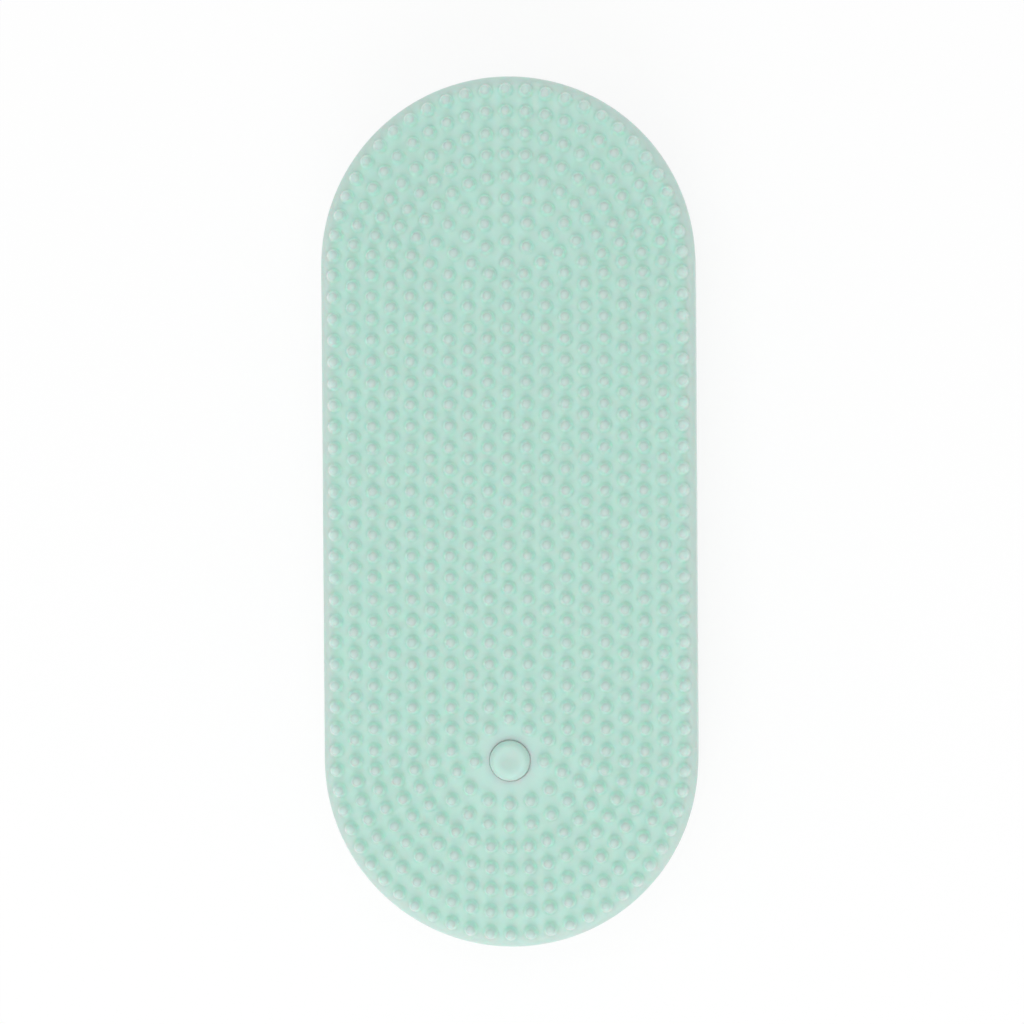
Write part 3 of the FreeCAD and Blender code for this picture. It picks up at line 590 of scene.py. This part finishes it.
def metal(name, colour, roughness=0.28, stretch=(1.0, 1.0, 1.0)):
    """Drawn or turned metal: fine lines along the stretched axis, dulled here and there."""
    m = Nodes(name)
    mapping = m.add("ShaderNodeMapping")
    mapping.inputs["Scale"].default_value = stretch
    m.link(m.coords, mapping.inputs["Vector"])
    m.coords = mapping.outputs["Vector"]
    lines = m.noise(3000, 3.0, 0.6)
    body = m.mix(m.span(m.noise(300, 3.0), 0.35, 0.65), dimmed(colour, 0.82), colour)
    rough = m.span(lines, 0.3, 0.7, roughness - 0.08, roughness + 0.12)
    m.set(Metallic=1.0)
    m.wire(body, rough, m.bump(lines, 0.01 * MM, 0.4))
    return m.material


def striped_metal(name, colour, groove, direction, period, roughness=0.35):
    """Metal laid in even turns or sheets, with a darker line between each and the next."""
    m = Nodes(name)
    turns = m.bands(direction, period, 0.3)
    body = m.mix(m.span(turns, 0.05, 0.45, smooth=True), groove, colour)
    rough = m.blotches(1200, 3.0, roughness - 0.08, roughness + 0.12)
    m.set(Metallic=1.0)
    m.wire(body, rough, m.bump(turns, 0.06 * MM, 0.7))
    return m.material


def circuit_mask(name):
    """Green solder mask over copper: bundles of parallel tracks, each block running one way, and vias."""
    m = Nodes(name)
    block = 5.0 * MM
    track_pitch = 0.8 * MM
    via_spacing = 1.7 * MM
    blocks = m.add("ShaderNodeTexVoronoi", distance="CHEBYCHEV")
    blocks.inputs["Scale"].default_value = 1 / block
    m.link(m.coords, blocks.inputs["Vector"])
    chance = m.add("ShaderNodeSeparateColor")
    m.link(blocks.outputs["Color"], chance.inputs["Color"])
    lengthwise = m.calc("GREATER_THAN", chance.outputs["Red"], 0.5)
    across = m.calc("SUBTRACT", 1.0, lengthwise)
    long_lines = m.calc("MULTIPLY", m.bands("X", track_pitch), lengthwise)
    cross_lines = m.calc("MULTIPLY", m.bands("Y", track_pitch), across)
    routed = m.calc("GREATER_THAN", chance.outputs["Green"], 0.35)
    tracks = m.span(m.calc("MULTIPLY", m.calc("ADD", long_lines, cross_lines), routed), 0.62, 0.72)
    past_via = m.span(m.cells(via_spacing), 0.09, 0.12)
    body = m.mix(tracks, srgb(24, 86, 54), srgb(44, 116, 70))
    body = m.mix(past_via, srgb(186, 160, 96), body)
    m.wire(body, m.blotches(500, 3.0, 0.22, 0.36), m.bump(tracks, 0.02 * MM, 0.5))
    return m.material


def pouch_foil(name):
    """Aluminium pouch laminate, faintly crumpled, with a drawn sheen along the cell."""
    m = Nodes(name)
    crumple = m.cells(4.0 * MM, "SMOOTH_F1")
    drawn = m.noise(2600, 2.0)
    body = m.mix(m.span(m.noise(220, 3.0), 0.35, 0.65), srgb(168, 170, 174), srgb(200, 202, 206))
    rough = m.span(drawn, 0.3, 0.7, 0.26, 0.42)
    m.set(Metallic=1.0)
    m.wire(body, rough, m.bump(drawn, 0.01 * MM, 0.3, under=m.bump(crumple, 0.15 * MM, 0.5)))
    return m.material


def open_foam(name):
    """Dark open-cell foam."""
    m = Nodes(name)
    pores = m.cells(0.35 * MM)
    body = m.mix(m.span(pores, 0.1, 0.6), srgb(66, 66, 68), srgb(30, 30, 32))
    m.wire(body, m.blotches(900, 2.0, 0.85, 0.98), m.bump(pores, 0.1 * MM, 0.9))
    return m.material


def polyimide(name):
    """Amber polyimide tape: glossy, with faint streaks along its length."""
    m = Nodes(name)
    streaks = m.bands("Y", 0.5 * MM, 4.0)
    body = m.mix(streaks, srgb(184, 112, 26), srgb(208, 140, 44))
    m.wire(body, m.blotches(600, 3.0, 0.14, 0.28), m.bump(streaks, 0.01 * MM, 0.3))
    return m.material


def speckled(name, colour, speck, size, metallic, roughness):
    """Pressed powder, such as sintered bronze or ferrite: one tone with fine specks of another."""
    m = Nodes(name)
    grains = m.cells(size)
    body = m.mix(m.span(grains, 0.15, 0.45), speck, colour)
    rough = m.blotches(1800, 3.0, roughness - 0.08, roughness + 0.1)
    m.set(Metallic=metallic)
    m.wire(body, rough, m.bump(grains, 0.02 * MM, 0.6))
    return m.material


def clear(name):
    """Clear moulded plastic, very slightly uneven."""
    m = Nodes(name)
    m.set(Base_Color=(0.93, 0.97, 0.96, 1.0), Transmission_Weight=0.9, IOR=1.49)
    m.wire(None, m.blotches(800, 2.0, 0.08, 0.2), m.bump(m.noise(1500, 2.0), 0.01 * MM, 0.2))
    return m.material


def paint_nodes():
    """A material for every CAD node, by its slot in the record."""
    materials = {
        "mint_silicone": silicone("silicone_mint", MINT),
        "white_abs": plastic("abs_white", srgb(228, 230, 228)),
        "seal_rubber": plastic("seal_rubber", srgb(168, 176, 176), 0.6, 1400),
        "screw_steel": metal("screw_steel", srgb(196, 198, 200)),
        "black_plastic": plastic("plastic_black", srgb(38, 38, 40), 0.42),
        "red_plastic": plastic("plastic_red", srgb(176, 42, 36), 0.35),
        "board_green": circuit_mask("solder_mask_green"),
        "led_white": plastic("led_lens", srgb(240, 236, 200), 0.25),
        "clear_plastic": clear("light_pipe_clear"),
        "solder": metal("solder", srgb(198, 200, 202), 0.22),
        "cell_foil": pouch_foil("cell_foil"),
        "amber_tape": polyimide("amber_tape"),
        "foam": open_foam("foam_dark"),
        "lead_red": plastic("lead_red", srgb(178, 34, 30), 0.4, 1200),
        "lead_black": plastic("lead_black", srgb(30, 30, 32), 0.4, 1200),
        "motor_steel": metal("motor_steel", srgb(190, 190, 186), 0.25, (1.0, 0.15, 1.0)),
        "bearing_bronze": speckled(
            "bearing_bronze", srgb(178, 136, 86), srgb(120, 86, 50), 0.12 * MM, 1.0, 0.42),
        "contact_brass": metal("contact_brass", srgb(208, 172, 98), 0.25),
        "magnet": speckled(
            "magnet_ferrite", srgb(62, 62, 66), srgb(92, 92, 96), 0.2 * MM, 0.0, 0.5),
        "core_iron": striped_metal(
            "core_laminations", srgb(150, 152, 156), srgb(70, 70, 74), "Y", 0.35 * MM),
        "copper": striped_metal(
            "copper_turns", srgb(204, 120, 70), srgb(110, 54, 30), "DIAGONAL", 0.18 * MM, 0.25),
        "weight_metal": speckled(
            "weight_tungsten", srgb(142, 142, 140), srgb(104, 104, 102), 0.15 * MM, 1.0, 0.42),
    }
    for part in frame["record"]["subparts"]:
        node = frame["nodes"][part["node"]]
        node.data.materials.clear()
        node.data.materials.append(materials[part["material_slot"]])


# Stage, lights and camera

FLOOR_HALF = 3.0
FLOOR_TONE = 0.95
# How much of the floor's own white the camera sees. The rest is its lit surface, which carries the shadow.
FLOOR_WHITE_SHARE = 0.84
WORLD_LEVEL = 0.70
WHITE = (1.0, 1.0, 1.0, 1.0)

LIGHT_TARGET = (0, 0, 0.02)
# Place, size across and watts
LIGHTS = {
    "key_light": ((-0.02, -0.44, 0.46), 0.38, 0.92),
    "top_fill": ((-0.05, 0.05, 0.75), 0.60, 1.20),
}

LENS = 100.0
SENSOR = 36.0
CAMERA_DISTANCE = 423.4 * MM
CAMERA_NEAR = 10 * MM
CAMERA_LEAN_X = math.radians(4.1)
CAMERA_LEAN_Y = math.radians(0.7)
OBJECT_TURN = math.radians(0.37)
AIM = Vector((0.55 * MM, 0.06 * MM, FACE_Z))


def backdrop_rays(tree):
    """1 for rays that show the backdrop itself: straight on, in a reflection or through something clear."""
    path = tree.nodes.new("ShaderNodeLightPath")
    seen = path.outputs["Is Camera Ray"]
    for kind in ("Is Glossy Ray", "Is Transmission Ray"):
        either = tree.nodes.new("ShaderNodeMath")
        either.operation = "MAXIMUM"
        tree.links.new(seen, either.inputs[0])
        tree.links.new(path.outputs[kind], either.inputs[1])
        seen = either.outputs["Value"]
    return seen


def floor_material():
    """Pale floor: mostly plain white to the camera, and a matt surface to the light."""
    material = bpy.data.materials.new("floor_white")
    material.use_nodes = True
    tree = material.node_tree
    surface = tree.nodes["Principled BSDF"]
    surface.inputs["Base Color"].default_value = (FLOOR_TONE, FLOOR_TONE, FLOOR_TONE, 1.0)
    surface.inputs["Roughness"].default_value = 0.9
    surface.inputs["Specular IOR Level"].default_value = 0.1
    glow = tree.nodes.new("ShaderNodeEmission")
    glow.inputs["Color"].default_value = WHITE
    glow.inputs["Strength"].default_value = 1.0
    share = tree.nodes.new("ShaderNodeMath")
    share.operation = "MULTIPLY"
    share.inputs[1].default_value = FLOOR_WHITE_SHARE
    tree.links.new(backdrop_rays(tree), share.inputs[0])
    blend = tree.nodes.new("ShaderNodeMixShader")
    tree.links.new(share.outputs["Value"], blend.inputs["Fac"])
    tree.links.new(surface.outputs["BSDF"], blend.inputs[1])
    tree.links.new(glow.outputs["Emission"], blend.inputs[2])
    tree.links.new(blend.outputs["Shader"], tree.nodes["Material Output"].inputs["Surface"])
    return material


def make_stage():
    """The floor that the brush lies on."""
    mesh = bpy.data.meshes.new("floor")
    half = FLOOR_HALF
    corners = [(-half, -half, 0), (half, -half, 0), (half, half, 0), (-half, half, 0)]
    mesh.from_pydata(corners, [], [(0, 1, 2, 3)])
    floor = bpy.data.objects.new("floor", mesh)
    bpy.context.scene.collection.objects.link(floor)
    mesh.materials.append(floor_material())


def make_lights():
    """A soft key light from the near end, a wide fill from above, and an even pale world."""
    for name, (place, size, watts) in LIGHTS.items():
        data = bpy.data.lights.new(name, "AREA")
        data.shape = "DISK"
        data.size = size
        data.energy = watts
        lamp = bpy.data.objects.new(name, data)
        lamp.location = place
        lamp.rotation_euler = (Vector(LIGHT_TARGET) - Vector(place)).to_track_quat("-Z", "Y").to_euler()
        bpy.context.scene.collection.objects.link(lamp)
    world = bpy.data.worlds.new("studio")
    world.use_nodes = True
    bpy.context.scene.world = world
    tree = world.node_tree
    background = tree.nodes["Background"]
    background.inputs["Color"].default_value = WHITE
    strength = tree.nodes.new("ShaderNodeMapRange")
    strength.inputs["To Min"].default_value = WORLD_LEVEL
    strength.inputs["To Max"].default_value = 1.0
    tree.links.new(backdrop_rays(tree), strength.inputs["Value"])
    tree.links.new(strength.outputs["Result"], background.inputs["Strength"])


def make_camera():
    """Almost straight above the face, leaning a little to the right and to the far end."""
    data = bpy.data.cameras.new("camera")
    data.lens = LENS
    data.sensor_width = SENSOR
    data.clip_start = CAMERA_NEAR
    camera = bpy.data.objects.new("camera", data)
    out = Vector((math.tan(CAMERA_LEAN_X), math.tan(CAMERA_LEAN_Y), 1.0)).normalized()
    side = Vector((0.0, 1.0, 0.0)).cross(out).normalized()
    up = out.cross(side)
    turned = Matrix((side, up, out)).transposed().to_4x4() @ Matrix.Rotation(-OBJECT_TURN, 4, "Z")
    camera.matrix_world = Matrix.Translation(AIM + out * CAMERA_DISTANCE) @ turned
    bpy.context.scene.collection.objects.link(camera)
    bpy.context.scene.camera = camera


bpy.context.scene.view_settings.view_transform = "Standard"
make_camera()
make_stage()
make_lights()
paint_nodes()
face = front_skin()
face.data.materials.append(silicone("silicone_nub_face", MINT, nub_face_painted_light))
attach(face, "housing")
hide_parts("front_skin")
cap = key_cap()
# The key's silicone carries a painted sheen, a paler and greyer mint
cap.data.materials.append(silicone("silicone_key", MINT_KEY_PAINTED_SHEEN))
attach(cap, "power_button")
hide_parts("button_cap")
